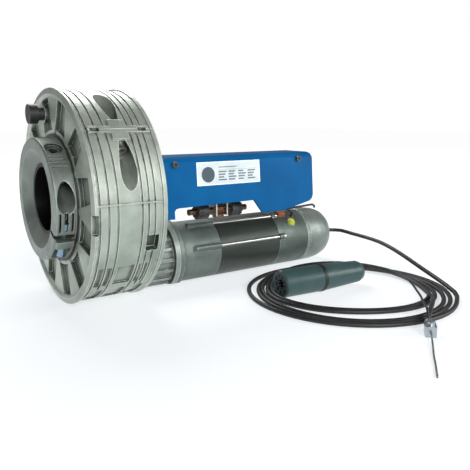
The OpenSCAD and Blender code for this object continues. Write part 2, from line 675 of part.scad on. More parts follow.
module rear_end_shield() color("gray") difference() {
    union() {
        rod(stack_x1, rear_x1, motor_r, motor_at);
        tie_bosses(stack_x1, stack_x1 + tie_foot);
        on_motor(earth_x, earth_angle, motor_r - 2) cylinder(h = 3, r = 5.5);
    }
    rod(stack_x1 - over, rear_wall_x, shield_inner_r, motor_at);
    rod(rear_wall_x + rear_wall_t, rear_x1 + over, shield_inner_r, motor_at);
    rod(rear_wall_x - over, rear_wall_x + rear_wall_t + over, bearing_od, motor_at);
    tie_holes(stack_x1, stack_x1 + tie_foot);
    on_motor(earth_x, earth_angle, motor_r - 4) cylinder(h = 8, r = 1.5);
    on_motor(lead_holes[0][0], lead_holes[0][1], motor_r - 6) cylinder(h = 10, r = lead_hole_r);
    connector_block();
    for (a = tie_angles)
        rod(stack_x1 + tie_foot, stack_x1 + tie_foot + tie_head_h + 0.3, tie_boss_r, tie_at(a));
}
module on_motor(x, a, r0) translate([x, motor_at[0] + r0 * cos(a), motor_at[1] + r0 * sin(a)])
    rotate([a - 90, 0, 0]) children();
module connector_block() on_motor(connector_x, connector_angle, motor_r - connector_sink)
    translate([0, -connector_size[1] / 2, 0]) cube(connector_size);
module lead_connector() color("sienna") connector_block();
module tie_bolts() color("silver") for (a = tie_angles) {
    rod(shield_x1 - tie_thread, stack_x1 + tie_foot + over, tie_r, tie_at(a));
    rod(stack_x1 + tie_foot, stack_x1 + tie_foot + tie_head_h, 3, tie_at(a));
}
brake_x0 = rear_wall_x + rear_wall_t + 0.3;
disc_w = 5;
armature_w = 4;
armature_r = 25;
armature_x0 = brake_x0 + disc_w + 0.3;
magnet_x0 = armature_x0 + armature_w + brake_gap + 0.2;
magnet_w = 18;
magnet_x1 = magnet_x0 + magnet_w;
pull_r = 2.2;
pull_head_r = 4.5;
spring_angles = [0, 120, 240];
brake_reach = 16;
spring_depth = 8;
spring_r = 3.2;
cap_screw_r = 1.6;
cap_screw_head_r = 3;
cap_screw_depth = 6;
cap_post_r = 4;
cap_wall = 3;
function brake_at(a) = motor_at + brake_reach * [cos(a), sin(a)];
module rotor_shaft() color("silver") {
    rod(lay_x0 + lay_w + 1, brake_x0 + disc_w, shaft_r - pin_clear, motor_at);
    rod(lay_x0 - 0.5, lay_x0 + lay_w + 1, rotor_teeth * rotor_module / 2 - 0.8, motor_at);
    spur(lay_x0 - 0.5, lay_w + 1.5, rotor_teeth, rotor_module, motor_at, rotor_dir);
}
module rotor_core() color("darkgray") ring(shield_x1, stack_x1, rotor_r, shaft_r - pin_clear, motor_at);
disc_r = 22;
module brake_disc() color("saddlebrown")
    ring(brake_x0, brake_x0 + disc_w, disc_r, shaft_r - pin_clear, motor_at);
module brake_armature() color("silver") {
    rod(armature_x0, armature_x0 + armature_w, armature_r, motor_at);
    rod(armature_x0, magnet_x1 + 6, pull_r, motor_at);
    rod(magnet_x1 + 3, magnet_x1 + 6, pull_head_r, motor_at);
}
module brake_magnet() color("darkorange") difference() {
    rod(magnet_x0, magnet_x1, shield_inner_r, motor_at);
    rod(magnet_x0 - over, magnet_x1 + over, pull_r + 0.3, motor_at);
    for (a = spring_angles) {
        rod(magnet_x0 - over, magnet_x0 + spring_depth, spring_r + 0.4, brake_at(a));
        rod(magnet_x1 - cap_screw_depth, magnet_x1 + over, cap_screw_r, brake_at(a + 60));
    }
}
module brake_springs() color("silver")
    for (a = spring_angles)
        ring(armature_x0 + armature_w, magnet_x0 + spring_depth, spring_r, spring_r - 1, brake_at(a));
module end_cap() color("gray") difference() {
    union() {
        turned([[0, cap_x1], [0, cap_x1 - cap_wall], [motor_r - 9, cap_x1 - cap_wall],
            [motor_r - 4, cap_x1 - 9],
            [motor_r - cap_wall, cap_x1 - 20], [motor_r - cap_wall, rear_x1], [motor_r, rear_x1],
            [motor_r, rear_x1 + 2], [motor_r - 0.8, rear_x1 + 2.6], [motor_r - 0.8, rear_x1 + 4],
            [motor_r - 0.1, rear_x1 + 4.6], [motor_r - 0.1, cap_x1 - 24], [motor_r - 1.6, cap_x1 - 14],
            [motor_r - 4.2, cap_x1 - 6.5], [motor_r - 7.5, cap_x1 - 2], [motor_r - 10, cap_x1 - 0.5],
            [motor_r - 12, cap_x1]], motor_at);
        for (a = spring_angles) rod(magnet_x1, cap_x1 - cap_wall + over, cap_post_r, brake_at(a + 60));
        rod(cap_x1 - 10, cap_x1 - cap_wall + over, adjuster_r + 2.5, motor_at);
    }
    rod(cap_x1 - 11, cap_x1 + over, adjuster_r, motor_at);
    for (a = spring_angles) {
        rod(magnet_x1 - over, cap_x1, cap_screw_r, brake_at(a + 60));
        rod(cap_x1 - 3, cap_x1 + over, cap_screw_head_r + 0.3, brake_at(a + 60));
    }
    on_motor(lead_holes[1][0], lead_holes[1][1], motor_r - 8) cylinder(h = 12, r = lead_hole_r);
}
adjuster_r = 3.5;
module end_cap_screws() color("silver")
    for (a = spring_angles) {
        rod(magnet_x1 - cap_screw_depth + 1, cap_x1 - 2.5, cap_screw_r, brake_at(a + 60));
        rod(cap_x1 - 3, cap_x1 - 0.6, cap_screw_head_r, brake_at(a + 60));
    }
module cable_adjuster() color("black") {
    rod(cap_x1 - 10, cap_x, adjuster_r, motor_at);
    rod(cap_x1, cap_x1 + 2.5, adjuster_r + 1.6, motor_at);
}

// Limit switch
module limit_drive_shaft() color("silver") {
    rod(ring_x0 - 1, tab_x1 + tab_t + 2, drive_pin_r, drive_at);
    spur(ring_x0, ring_w, drive_teeth, ring_module, drive_at, drive_turn);
    spur(tab_x0 + tab_t + 1, limit_gear_w, limit_wheel_teeth, limit_module, drive_at, limit_dir);
}
spindle_over = 4;
module limit_spindle() color("saddlebrown") {
    rod(nut_up_x - limit_travel - spindle_over, nut_down_x + limit_nut_len + limit_travel + spindle_over,
        spindle_d / 2, spindle_at);
    spur(tab_x0 + tab_t + 1, limit_gear_w, spindle_teeth, limit_module, spindle_at,
        limit_dir + 180 + 180 / spindle_teeth);
}
chassis_x1 = flap_x0 + 57;
chassis_top = cover_top - 5.5;
chassis_low = cover_base_z - 3.5;
tab_front_y = spindle_at[0] - 8;
module chassis_plate() color("silver") difference() {
    union() {
        translate([chassis_x0, chassis_y - chassis_t, chassis_low])
            cube([chassis_x1 - chassis_x0, chassis_t, chassis_top - chassis_low]);
        for (x = [tab_x0, tab_x1])
            translate([x, tab_front_y, spindle_at[1] - 5])
                cube([tab_t, chassis_y - tab_front_y, drive_at[1] + 10 - spindle_at[1]]);
    }
    for (x = [tab_x0, tab_x1]) {
        rod(x - over, x + tab_t + over, spindle_d / 2 + pin_clear, spindle_at);
        rod(x - over, x + tab_t + over, drive_pin_r + pin_clear, drive_at);
    }
}
notch_count = 12;
notch_w = 1.6;
module limit_nut(x) difference() {
    rod(x, x + limit_nut_len, limit_nut_d / 2, spindle_at);
    rod(x - over, x + limit_nut_len + over, spindle_d / 2 + pin_clear, spindle_at);
    for (i = [0:notch_count - 1])
        ax(x - over, spindle_at) rotate([0, 0, i * 360 / notch_count])
            translate([limit_nut_d / 2 - 1, -notch_w / 2, 0]) cube([3, notch_w, 5]);
}
module limit_nut_up() color("black") limit_nut(nut_up_x);
module limit_nut_down() color("black")
    translate([2 * nut_down_x + limit_nut_len, 0, 0]) mirror([1, 0, 0]) limit_nut(nut_down_x);
switch_len = 16;
switch_low_z = lever_top_z - 2.2;
switch_h = 9;
pivot_r = 1;
cheek_t = 1.2;
module lever_pin(x, r, grow) translate([x + lever_t / 2, lever_y - lever_w / 2 - cheek_t - grow, lever_top_z])
    rotate([-90, 0, 0]) cylinder(h = lever_w + 2 * cheek_t + 2 * grow, r = r);
module switch_lever(x) {
    translate([x, lever_y - lever_w / 2, lever_top_z - lever_len]) cube([lever_t, lever_w, lever_len]);
    lever_pin(x, pivot_r, 0);
}
module switch_lever_up() color("silver") switch_lever(lever_up_x);
module switch_lever_down() color("silver") switch_lever(lever_down_x);
module facing(x, side)
    translate([x, 0, 0]) mirror([side, 0, 0]) translate([-x, 0, 0]) children();
module microswitch(x, side) facing(x + lever_t / 2, side)
    difference() {
        union() {
            translate([x - 1.6 - switch_len, lever_y - lever_w / 2 - cheek_t, switch_low_z])
                cube([switch_len, chassis_y - chassis_t - lever_y + lever_w / 2 + cheek_t, switch_h]);
            for (y = [-lever_w / 2 - cheek_t, lever_w / 2 + 0.2])
                translate([x - 2, lever_y + y, switch_low_z]) cube([4, cheek_t - 0.2, switch_h]);
        }
        lever_pin(x, pivot_r + 0.06, 1);
    }
module microswitches() color("black") {
    microswitch(lever_up_x, 0);
    microswitch(lever_down_x, 1);
}

// Cover and electrical parts
cover_round = 5;
module cover_shape(inset) polygon([
    [-cover_y(cover_low_z - 5) - inset, cover_low_z - 5],
    [-cover_y(cover_top - cover_round) - inset, cover_top - cover_round - inset / 2],
    [-cover_y(cover_top) - inset - cover_round * 0.3, cover_top - cover_round * 0.3 - inset],
    [-cover_y(cover_top) - inset - cover_round, cover_top - inset],
    [-cover_back_y - (inset > 0 ? over : 0), cover_top - inset],
    [-cover_back_y - (inset > 0 ? over : 0), cover_low_z - 5]]);
module across_cover(x0, x1, inset)
    ax(x0) mirror([1, 0, 0]) linear_extrude(height = x1 - x0) cover_shape(inset);
module cover_front_shape() rotate([90, 0, 0]) linear_extrude(height = reach)
    polygon([[cover_x0 - 1, cover_top + 1], [cover_x1 - 5, cover_top + 1], [cover_x1 - 1.5, cover_top - 1.5],
        [cover_x1, cover_top - 6], [cover_x1, cover_base_z + 1], [cover_x1 - 1.5, cover_base_z - 3],
        [cover_x1 - 5, cover_base_z - 5.7], [cover_x1 - 20, cover_base_z - 8.8], [flap_x1, cover_low_z],
        [flap_x0, cover_low_z], [flap_x0 - 10, cover_base_z + 0.6], [cover_x0 + 16, cover_base_z - 0.4],
        [cover_x0 + 13, cover_base_z - 1], [cover_x0 + 11.5, cover_base_z - 3],
        [cover_x0 + 11.5, cover_low_z + 3],
        [cover_x0 - 1, cover_low_z + 3]]);
cover_screw_x = [cover_x0 + 14, cover_x1 - 20];
cover_screw_z = cover_top - 6.5;
cover_screw_r = 1.6;
post_y = cover_y(cover_screw_z) + cover_wall + 3;
module blue_cover() color("royalblue") difference() {
    intersection() {
        difference() {
            across_cover(cover_x0, cover_x1, 0);
            across_cover(cover_x0 - 1, cover_x1 - cover_wall, cover_wall);
            translate([cover_x0 - 1, cover_back_y - over, cover_low_z - 10])
                cube([cover_len + 1 - cover_wall, 2, cover_top - cover_low_z + 10 - cover_wall]);
        }
        cover_front_shape();
    }
    for (x = cover_screw_x) translate([x, cover_low_y - 5, cover_screw_z]) rotate([-90, 0, 0])
        cylinder(h = 20, r = cover_screw_r + 0.2);
}
module cover_posts() color("silver")
    for (x = cover_screw_x) translate([x, post_y, cover_screw_z]) rotate([-90, 0, 0]) difference() {
        cylinder(h = chassis_y - chassis_t - post_y, r = 3.2, $fn = 6);
        translate([0, 0, -over]) cylinder(h = 12 + over, r = cover_screw_r);
    }
module cover_screws() color("darkslategray")
    for (x = cover_screw_x) translate([x, cover_y(cover_screw_z) - 0.3, cover_screw_z]) rotate([-90, 0, 0]) {
        difference() {
            translate([0, 0, -2]) cylinder(h = 2, r = 3);
            translate([0, 0, -3]) cylinder(h = 2, r = 1.4, $fn = 6);
        }
        translate([0, 0, -0.2]) cylinder(h = 12, r = cover_screw_r);
    }
plate_x = cover_x0 + 36.5;
plate_w = 73;
plate_h = 22;
plate_t = 0.4;
plate_top = cover_top - 5.5;
module rating_plate() color("white")
    translate([plate_x, cover_y(plate_top), plate_top]) rotate([-atan(cover_lean), 0, 0])
        translate([0, -plate_t, -plate_h]) cube([plate_w, plate_t, plate_h]);
can_r = 13;
can_len = 52;
can_x1 = cover_screw_x[1] - 8.5;
module capacitor() color("silver")
    rod(can_x1 - can_len, can_x1, can_r, [chassis_y - chassis_t - can_r, cover_top - 20]);
module earth_terminal() color("yellow") on_motor(earth_x, earth_angle, motor_r + 1) {
    cylinder(h = 1, r = 4.6);
    translate([0, 0, -4.5]) cylinder(h = 5, r = 1.5);
    difference() {
        cylinder(h = 3.2, r = 2.9);
        translate([-4, -0.4, 2.4]) cube([8, 0.8, 2]);
    }
}
lead_r = 1.3;
function motor_point(x, a, r) = [x, motor_at[0] + r * cos(a), motor_at[1] + r * sin(a)];
short_lead = concat([[flap_x1 + 14, -62, -8], [flap_x1 + 16, -61, -16], [flap_x1 + 24, -55, -25]],
    [for (p = [[-17, 14], [-6, 9], [-1, 5.5], [0, 3], [0, 1], [0, -1]])
        motor_point(lead_holes[0][0] + p[0], lead_holes[0][1], motor_r + p[1])]);
long_lead = concat([[flap_x1 + 3, -60, -9], [flap_x1 + 6, -59, -17], [flap_x1 + 15, -48, -24],
    [flap_x1 + 27, -34, -29]],
    [for (p = [[38, 106, 6], [48, 103, 5], [60, 101, 3.6], [74, 99, 3], [90, 98, 3], [104, 97, 3.4],
        [113, 97, 3.6]])
        motor_point(flap_x1 + p[0], p[1], motor_r + p[2])],
    [for (r = [1.4, 0.4, -0.6]) motor_point(lead_holes[1][0], lead_holes[1][1], motor_r + r)]);
module motor_leads() color("black") {
    tube(short_lead, lead_r);
    tube(long_lead, lead_r);
}

// Release cable, coil, handle and wire clamp
module release_cable() color("black") tube(cable_route, cable_r, 8, 4);
module cable_coil() color("black") translate([0, 0, floor_z]) linear_extrude(height = coil_h) difference() {
    translate(coil_at) circle(r = coil_r);
    translate(coil_hole_at) circle(r = coil_hole_r);
    translate(handle_at) circle(r = handle_seat_r);
}
module along_handle(x) translate([handle_at[0], handle_at[1], handle_z]) rotate([0, 0, handle_turn])
    rotate([0, 90, 0]) translate([0, 0, x]) children();
band_x = 0.45 * handle_len;
band_w = 3.5;
socket_r = handle_r - 4;
socket_depth = 12;
nose_len = handle_len - band_x - band_w;
module handle_body() color("darkslategray") along_handle(0) rotate_extrude()
    polygon([[socket_r, 0], [handle_r - 1, 0], [handle_r, 1.5], [handle_r, band_x], [0, band_x],
        [0, socket_depth], [socket_r, socket_depth]]);
module handle_socket() color("black") along_handle(1) difference() {
    cylinder(h = socket_depth - 1, r = socket_r);
    translate([0, 0, -over]) cylinder(h = 7, r = 5, $fn = 6);
}
module handle_band() color("black") along_handle(band_x) cylinder(h = band_w, r = handle_r + 0.5);
module handle_nose() color("darkslategray") along_handle(band_x + band_w) rotate_extrude()
    polygon([[0, 0], [handle_r, 0], [handle_r - 0.6, 12], [handle_r - 2.6, nose_len - 6],
        [handle_r - 4.5, nose_len - 1.5], [handle_r - 6.5, nose_len], [0, nose_len]]);
module handle_wire() color("black") tube(wire_route, thin_r, 8, 3);
module clamp_frame() translate([clamp_from[0], clamp_from[1], clamp_z]) rotate([0, 0, clamp_turn]) children();
clamp_screw_x = 15;
module wire_clamp() color("silver") clamp_frame() difference() {
    union() {
        rotate([0, 90, 0]) cylinder(h = 9, r = 4);
        translate([8, -4.5, floor_z - clamp_z]) cube([clamp_len - 8, 9, 9]);
    }
    translate([clamp_screw_x, 0, 2]) cylinder(h = 6, r = 2);
}
module wire_clamp_screw() color("silver") clamp_frame() translate([clamp_screw_x, 0, 2]) difference() {
    union() {
        cylinder(h = 3, r = 2);
        translate([0, 0, floor_z - clamp_z + 7]) cylinder(h = 2.6, r = 3.2);
    }
    translate([-4, -0.4, floor_z - clamp_z + 8.6]) cube([8, 0.8, 2]);
}
module wire_tail() color("gray") tube(tail_route, tail_r, 8, 3);

gear_case();
hub_cap();
hub_joint_bolts();
clamp_bolt();
tube_set_screw();
crown_bearing_left();
crown_bearing_right();
gear_bushes();
gearbox_neck();
neck_screws();
front_end_shield();
stator_stack();
stator_windings();
motor_bearings();
rear_end_shield();
tie_bolts();
brake_magnet();
brake_springs();
end_cap();
end_cap_screws();
cable_adjuster();
chassis_plate();
microswitches();
cover_posts();
blue_cover();
cover_screws();
rating_plate();
capacitor();
lead_connector();
earth_terminal();
motor_leads();
release_cable();
cable_coil();
handle_body();
handle_nose();
handle_band();
handle_socket();
handle_wire();
wire_clamp();
wire_clamp_screw();
wire_tail();
crown_front_half();
crown_rear_half();
ring_gear_front();
ring_gear_rear();
crown_joint_bolts();
crown_joint_nuts();
crown_stop_knob();
output_shaft();
layshaft();
rotor_shaft();
rotor_core();
brake_disc();
brake_armature();
limit_drive_shaft();
limit_spindle();
limit_nut_up();
limit_nut_down();
switch_lever_up();
switch_lever_down();
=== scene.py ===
import json
import math

import bpy
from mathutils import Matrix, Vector


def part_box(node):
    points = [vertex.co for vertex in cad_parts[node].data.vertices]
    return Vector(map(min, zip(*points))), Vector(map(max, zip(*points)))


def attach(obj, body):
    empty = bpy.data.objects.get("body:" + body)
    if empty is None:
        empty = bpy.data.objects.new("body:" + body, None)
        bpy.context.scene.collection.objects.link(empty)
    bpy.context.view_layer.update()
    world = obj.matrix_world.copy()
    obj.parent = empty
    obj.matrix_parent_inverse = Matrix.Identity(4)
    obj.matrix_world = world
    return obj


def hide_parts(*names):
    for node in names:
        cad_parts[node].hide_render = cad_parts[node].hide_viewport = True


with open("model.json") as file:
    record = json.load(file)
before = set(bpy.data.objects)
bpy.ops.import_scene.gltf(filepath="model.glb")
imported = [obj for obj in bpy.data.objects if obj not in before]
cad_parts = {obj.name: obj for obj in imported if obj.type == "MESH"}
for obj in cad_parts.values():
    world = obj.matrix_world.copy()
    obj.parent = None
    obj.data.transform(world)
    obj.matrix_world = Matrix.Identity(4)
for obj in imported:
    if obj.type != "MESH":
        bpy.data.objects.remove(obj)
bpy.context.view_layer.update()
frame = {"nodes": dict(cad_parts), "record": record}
nodes = frame["nodes"]
print("frame loaded")


def clearSelection():
    if bpy.context.mode != "OBJECT":
        bpy.ops.object.mode_set(mode="OBJECT")
    bpy.ops.object.select_all(action="DESELECT")


# Camera and cords come first
cameraSetup = {"place": (-0.1472, -0.5361, 0.0730), "yaw": 34.85, "pitch": -11.51, "lens": 43.48, "sensor": 36}


def addCamera(setup):
    clearSelection()
    turn = (math.radians(90 + setup["pitch"]), 0, -math.radians(setup["yaw"]))
    bpy.ops.object.camera_add(location=setup["place"], rotation=turn)
    camera = bpy.context.object
    camera.data.lens = setup["lens"]
    camera.data.sensor_width = setup["sensor"]
    bpy.context.scene.camera = camera


addCamera(cameraSetup)
print("camera placed")

floorHeight = -0.1015
# the coil is laid out on the floor from this point, along these two directions
floorOrigin = (-0.147, -0.536)
sideways = (0.821, -0.571)
backwards = (0.571, 0.821)

cableSetup = {
    "diameter": 0.0045,
    "exit": (0.356, -0.005, -0.068),
    "lead": [(0.356, -0.005, -0.068), (0.360, -0.005, -0.068), (0.364, -0.005, -0.068),
             (0.374, -0.008, -0.069), (0.382, -0.018, -0.069), (0.386, -0.034, -0.071),
             (0.386, -0.058, -0.072), (0.382, -0.084, -0.073), (0.3765, -0.110, -0.0765),
             (0.3715, -0.135, -0.0820), (0.3665, -0.158, -0.0875), (0.3610, -0.181, -0.0925)],
    "turns": 5,
    "perTurn": 30,  # points in one turn
    "startTurn": 0.025,
    "overrun": 0.005,
    "passFrom": 0.72,  # from this share of a turn on, it moves over to the next turn's place
    "landing": 0.12,  # share of the first turn in which the lead comes down
    "clearance": 0.0001,
    "wobble": 0.0006,
    "wobblesPerTurn": 2.3,
    "outerCentre": (0.118, 0.561),
    "outerRadii": (0.106, 0.1035),
    # how far each turn lies inside the outermost line and how high: front, left, back, right
    "inset": [(0.0010, 0.0030, 0.0057, 0.0030), (0.0058, 0.0120, 0.0105, 0.0082),
              (0.0106, 0.0168, 0.0153, 0.0150), (0.0350, 0.0216, 0.0081, 0.0215),
              (0.0400, 0.0262, 0.0129, 0.0268), (0.0410, 0.0262, 0.0129, 0.0300)],
    "lift": [(0, 0, 0, 0), (0, 0, 0, 0), (0, 0, 0, 0.0008),
             (0, 0, 0.0044, 0), (0, 0, 0.0044, 0.0008), (0, 0, 0.0044, 0.001)],
    "tail": [(0.3150, -0.2095, -0.0972), (0.3000, -0.2215, -0.0938), (0.2840, -0.2320, -0.0925),
             (0.2685, -0.2415, -0.0930), (0.2580, -0.2480, -0.0950), (0.2507, -0.2533, -0.0963)],
    "smoothing": 2,
}


def onFloor(side, back, height):
    return (floorOrigin[0] + backwards[0] * back + sideways[0] * side,
            floorOrigin[1] + backwards[1] * back + sideways[1] * side, height)


def easeBetween(values, turn):
    # a turn starts at the right side and goes to the front, the left and the back
    order = [values[-1], *values]
    place = (turn % 1) * len(values)
    index = int(place) % len(values)
    blend = 0.5 - 0.5 * math.cos(math.pi * (place - int(place)))
    return order[index] * (1 - blend) + order[index + 1] * blend


def coilPoint(setup, along):
    turn = along % 1
    index = min(int(along), len(setup["inset"]) - 2)
    passed = max(0.0, min(1.0, (along - index - setup["passFrom"]) / (1 - setup["passFrom"])))
    change = passed * passed * (3 - 2 * passed)
    inset, lift = [easeBetween(setup[key][index], turn) * (1 - change)
                   + easeBetween(setup[key][index + 1], turn) * change for key in ("inset", "lift")]
    angle = -2 * math.pi * turn
    wobble = setup["wobble"] * math.sin(setup["wobblesPerTurn"] * along * 2 * math.pi + index)
    radii = [radius - inset + wobble for radius in setup["outerRadii"]]
    landing = setup["diameter"] * max(0.0, 1 - along / setup["landing"]) ** 2
    height = floorHeight + setup["diameter"] / 2 + setup["clearance"] + lift + landing
    return onFloor(setup["outerCentre"][0] + radii[0] * math.cos(angle),
                   setup["outerCentre"][1] + radii[1] * math.sin(angle), height)


def smoothLine(points, steps):
    # a smooth line through all the points, in so many steps from each to the next
    line = []
    for i in range(len(points) - 1):
        a, b = Vector(points[max(i - 1, 0)]), Vector(points[i])
        c, d = Vector(points[i + 1]), Vector(points[min(i + 2, len(points) - 1)])
        for k in range(steps):
            t = k / steps
            line.append(0.5 * (2 * b + (c - a) * t + (2 * a - 5 * b + 4 * c - d) * t * t
                               + (3 * b - a - 3 * c + d) * t ** 3))
    line.append(Vector(points[-1]))
    return line


def lineLength(line):
    return sum((b - a).length for a, b in zip(line, line[1:]))


def addCord(name, line, diameter):
    clearSelection()
    bpy.ops.curve.primitive_bezier_curve_add(location=(0, 0, 0))
    cord = bpy.context.object
    cord.name = name
    curve = cord.data
    curve.splines.clear()
    spline = curve.splines.new("POLY")
    spline.points.add(len(line) - 1)
    for point, place in zip(spline.points, line):
        point.co = (*place, 1)
        point.radius = diameter / 2  # the depth is 1, so the point's radius is the cord's
    curve.dimensions = "3D"
    curve.bevel_depth = 1
    curve.bevel_resolution = 3
    curve.use_fill_caps = True
    return cord


def buildCable(setup):
    count = setup["turns"] * setup["perTurn"]
    step = (setup["turns"] - setup["startTurn"] + setup["overrun"]) / count
    coil = [coilPoint(setup, setup["startTurn"] + step * i) for i in range(count + 1)]
    line = smoothLine(setup["lead"] + coil + setup["tail"], setup["smoothing"])
    return addCord("releaseCable", line, setup["diameter"]), lineLength(line)


releaseCable, cableLength = buildCable(cableSetup)
print("cable laid, metres:", round(cableLength, 3))

# The handle and the wire clamp lie where the CAD has them
handleSetup = {"turn": -5, "start": (0.199, -0.117), "radius": 0.0145, "length": 0.104}
clampSetup = {"turn": 222, "start": (0.250, -0.254), "height": 0.005, "length": 0.022}
thinSetup = {"diameter": 0.0022, "clearance": 0.0005, "turnsUnder": 3, "smoothing": 4}
tailSetup = {"diameter": 0.0016, "smoothing": 4}

handleTurn = math.radians(handleSetup["turn"])
handleAlong = Vector((math.cos(handleTurn), math.sin(handleTurn), 0))
handleStart = Vector((*handleSetup["start"], floorHeight + handleSetup["radius"]))
handleEnd = handleStart + handleAlong * handleSetup["length"]
clampTurn = math.radians(clampSetup["turn"])
clampAlong = Vector((math.cos(clampTurn), math.sin(clampTurn), 0))
clampFrom = Vector((*clampSetup["start"], floorHeight + clampSetup["height"]))
clampTo = clampFrom + clampAlong * clampSetup["length"]
overCoil = (floorHeight + thinSetup["turnsUnder"] * cableSetup["diameter"]
            + thinSetup["diameter"] / 2 + thinSetup["clearance"])
thinSetup["points"] = [
    handleEnd, handleEnd + handleAlong * 0.003, handleEnd + handleAlong * 0.006,
    (0.317, -0.134, overCoil + 0.002), (0.323, -0.146, overCoil + 0.001), (0.323, -0.160, overCoil),
    (0.316, -0.177, overCoil), (0.306, -0.192, overCoil), (0.293, -0.207, overCoil),
    (0.280, -0.222, overCoil), (0.270, -0.232, overCoil), (0.262, -0.240, overCoil + 0.0005),
    (0.2565, -0.2465, overCoil), clampFrom - clampAlong * 0.004 + Vector((0, 0, 0.004)),
    clampFrom - clampAlong * 0.002, clampFrom - clampAlong * 0.001, clampFrom]
tailSetup["points"] = [
    clampTo, clampTo + clampAlong * 0.001, clampTo + clampAlong * 0.002,
    (0.230, -0.272, floorHeight + 0.003), (0.218, -0.282, floorHeight + 0.0015),
    (0.203, -0.294, floorHeight + 0.001), (0.190, -0.305, floorHeight + 0.001),
    (0.174, -0.318, floorHeight + 0.001)]

thinLine = smoothLine(thinSetup["points"], thinSetup["smoothing"])
handleWire = addCord("handleWire", thinLine, thinSetup["diameter"])
tailLine = smoothLine(tailSetup["points"], tailSetup["smoothing"])
wireTail = addCord("wireTail", tailLine, tailSetup["diameter"])
print("wires laid")

for cord, slotName, replaced in ((releaseCable, "cable_black", ("release_cable", "cable_coil")),
                                 (handleWire, "cable_black", ("handle_wire",)),
                                 (wireTail, "wire_steel", ("wire_tail",))):
    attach(cord, "housing")
    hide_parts(*replaced)
lineLength(thinLine)
lineLength(tailLine)


# Shader maths: a wire holds one socket, and plain sums on wires add their nodes
class Wire:
    def __init__(self, finish, socket):
        self.finish, self.socket = finish, socket

    def maths(self, operation, first, second):
        return self.finish.node("ShaderNodeMath", {"operation": operation}, [first, second])

    def __add__(self, other):
        return self.maths("ADD", self, other)

    def __radd__(self, other):
        return self.maths("ADD", other, self)

    def __sub__(self, other):
        return self.maths("SUBTRACT", self, other)

    def __rsub__(self, other):
        return self.maths("SUBTRACT", other, self)

    def __mul__(self, other):
        return self.maths("MULTIPLY", self, other)

    def __rmul__(self, other):
        return self.maths("MULTIPLY", other, self)

    def __truediv__(self, other):
        return self.maths("DIVIDE", self, other)

    def __gt__(self, other):
        return self.maths("GREATER_THAN", self, other)

    def __lt__(self, other):
        return self.maths("LESS_THAN", self, other)


class Finish:
    def __init__(self, name, values):
        self.material = bpy.data.materials.new(name)
        self.material.use_nodes = True
        self.tree = self.material.node_tree
        self.shader = next(n for n in self.tree.nodes if n.type == "BSDF_PRINCIPLED")
        for key, value in values.items():
            self.shader.inputs[key].default_value = value
        self.place = Wire(self, self.tree.nodes.new("ShaderNodeTexCoord").outputs["Object"])

    def node(self, kind, settings, values, output=0):
        made = self.tree.nodes.new(kind)
        for key, value in settings.items():
            if key == "stops":
                self.setStops(made.color_ramp, value)
            else:
                setattr(made, key, value)
        for key, value in enumerate(values) if isinstance(values, list) else values.items():
            if isinstance(value, Wire):
                self.tree.links.new(value.socket, made.inputs[key])
            else:
                made.inputs[key].default_value = value
        return Wire(self, made.outputs[output])

    def setStops(self, ramp, stops):
        while len(ramp.elements) > 1:
            ramp.elements.remove(ramp.elements[-1])
        for index, (place, colour) in enumerate(stops):
            element = ramp.elements[0] if index == 0 else ramp.elements.new(place)
            element.position, element.color = place, (*colour, 1)

    def feed(self, name, wire):
        self.tree.links.new(wire.socket, self.shader.inputs[name])

    def noise(self, scale, detail, roughness=0.55, stretch=None, distortion=0.0):
        place = self.place
        if stretch:
            place = self.node("ShaderNodeMapping", {}, {"Vector": self.place, "Scale": stretch})
        return self.node("ShaderNodeTexNoise", {}, {"Vector": place, "Scale": scale, "Detail": detail,
                                                    "Roughness": roughness, "Distortion": distortion})

    def ramp(self, value, stops):
        return self.node("ShaderNodeValToRGB", {"stops": stops}, {"Fac": value})

    def mask(self, value, low, high):
        return self.node("ShaderNodeMapRange", {"interpolation_type": "SMOOTHSTEP"},
                         {"Value": value, "From Min": low, "From Max": high})

    def mix(self, share, first, second):
        # sockets 6 and 7 take the colours, and output 2 gives the mixed one
        first, second = [value if isinstance(value, Wire) else (*value, 1) for value in (first, second)]
        return self.node("ShaderNodeMix", {"data_type": "RGBA"}, {0: share, 6: first, 7: second}, 2)

    def axes(self, wanted, place=None):
        return [self.node("ShaderNodeSeparateXYZ", {}, {"Vector": place or self.place}, "xyz".index(axis))
                for axis in wanted]

    def root(self, value):
        return self.node("ShaderNodeMath", {"operation": "SQRT"}, [value])

    def cavity(self, distance):
        # output 1 is how open a place is
        free = self.node("ShaderNodeAmbientOcclusion", {"samples": 6, "only_local": True}, {"Distance": distance}, 1)
        return 1 - free

    def rounded(self, radius):
        return self.node("ShaderNodeBevel", {"samples": 4}, {"Radius": radius})

    def edges(self, rounded):
        # an edge is where the rounded normal leaves the surface's own one
        flat = self.node("ShaderNodeNewGeometry", {}, {}, 1)
        likeness = self.node("ShaderNodeVectorMath", {"operation": "DOT_PRODUCT"}, [rounded, flat], 1)
        return self.mask(1 - likeness, 0.004, 0.07)

    def bump(self, height, strength, distance, rounded=None):
        values = {"Strength": strength, "Distance": distance, "Height": height}
        if rounded:
            values["Normal"] = rounded
        self.feed("Normal", self.node("ShaderNodeBump", {}, values))
